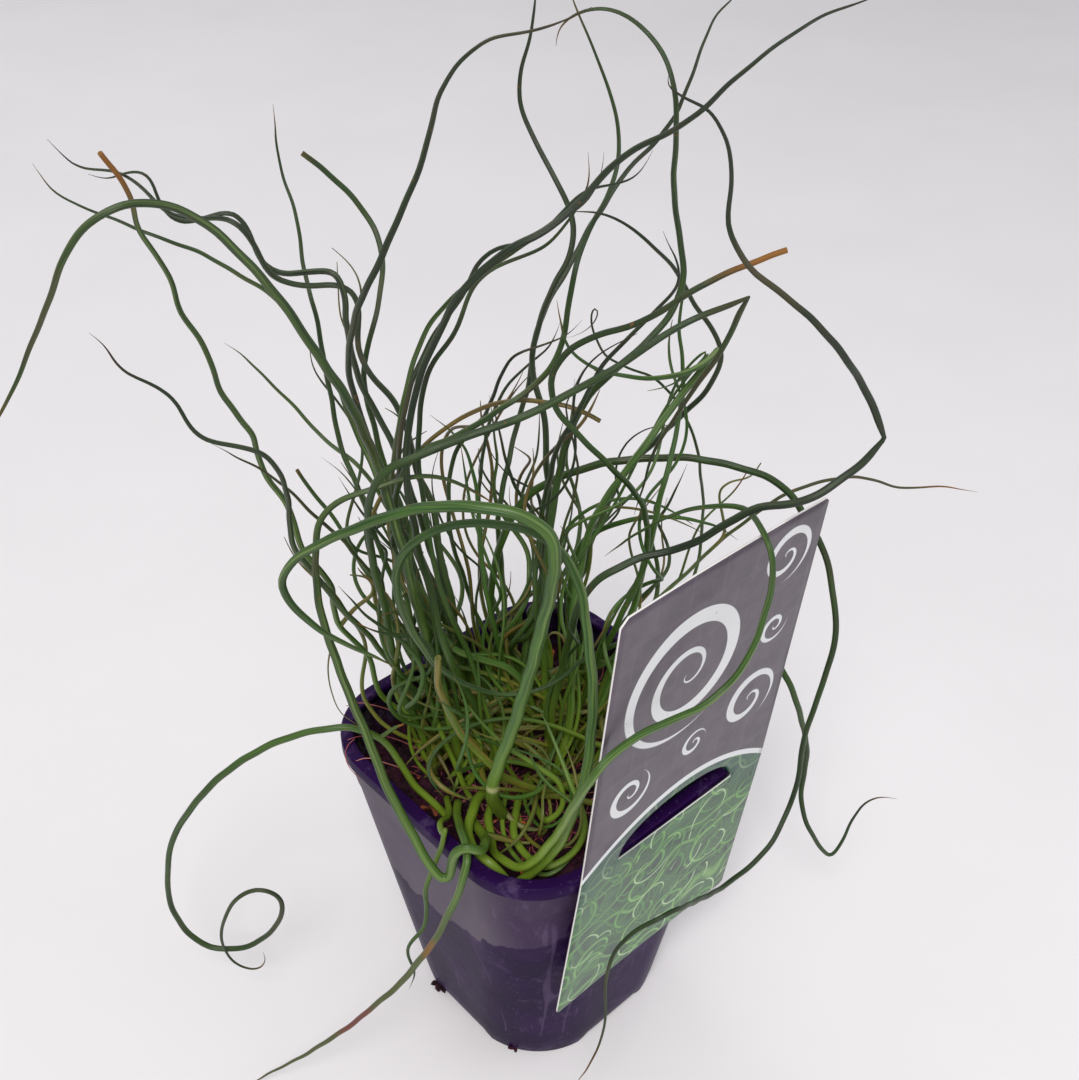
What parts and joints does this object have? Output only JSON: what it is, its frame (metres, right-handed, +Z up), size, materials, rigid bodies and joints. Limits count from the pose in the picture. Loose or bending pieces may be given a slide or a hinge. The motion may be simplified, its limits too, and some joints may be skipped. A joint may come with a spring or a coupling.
{
  "type": "potted soft rush",
  "caption": "Curling soft rush in a square nursery pot with rounded corners, soil and a hook-on plant label over the rim.",
  "frame": {"origin": "centre of the pot's underside, on the surface it stands on", "axes": "+Z up, -Y toward the side that carries the label"},
  "size_m": [0.2285, 0.1796, 0.3],
  "materials": {
    "pot_plastic": "gloss",
    "peat": "rough",
    "card": "satin",
    "stem_green": "satin",
    "stem_dark": "satin",
    "stem_bright": "satin",
    "stem_brown": "satin"
  },
  "bodies": {
    "root": {"pot": "pot_plastic", "soil": "peat", "label": "card", "stem_arch_mid": "stem_dark", "stem_bend_dark_a": "stem_dark", "stem_bend_dark_b": "stem_dark", "stem_big_ring": "stem_bright", "stem_bright_fold": "stem_bright", "stem_bright_front": "stem_bright", "stem_bright_swoop": "stem_bright", "stem_brown_hair": "stem_brown", "stem_brown_tip": "stem_dark", "stem_curl": "stem_green", "stem_curly_thin": "stem_green", "stem_cut_tall": "stem_green", "stem_dark_long": "stem_dark", "stem_far_left_arch": "stem_green", "stem_folded_dark": "stem_green", "stem_front_arch": "stem_green", "stem_front_loop": "stem_bright", "stem_great_arch": "stem_dark", "stem_hook_top": "stem_green", "stem_inner_back": "stem_green", "stem_inner_back_left": "stem_dark", "stem_inner_back_right": "stem_green", "stem_inner_back_tall": "stem_dark", "stem_inner_bright": "stem_bright", "stem_inner_far_back": "stem_green", "stem_inner_left": "stem_green", "stem_inner_right": "stem_dark", "stem_inner_tall": "stem_dark", "stem_kinked_right": "stem_dark", "stem_left_brown": "stem_brown", "stem_left_hook": "stem_green", "stem_left_low": "stem_dark", "stem_left_mid": "stem_green", "stem_left_stub": "stem_green", "stem_left_thin": "stem_green", "stem_left_twist_a": "stem_dark", "stem_left_twist_b": "stem_dark", "stem_mid_upright": "stem_bright", "stem_olive_arch": "stem_brown", "stem_orange_left": "stem_green", "stem_orange_right": "stem_green", "stem_over_label": "stem_bright", "stem_right_arc": "stem_bright", "stem_right_mid": "stem_bright", "stem_right_thin": "stem_brown", "stem_spiral_left": "stem_green", "stem_strand_a": "stem_dark", "stem_strand_b": "stem_green", "stem_strand_c": "stem_green", "stem_thin_tall": "stem_green", "stem_top_bow": "stem_green", "stem_top_right": "stem_dark", "stem_top_s": "stem_dark", "stem_trail_left": "stem_green", "stem_trail_right_a": "stem_green", "stem_trail_right_b": "stem_green", "stem_u_loop": "stem_bright"}
  },
  "joints": []
}
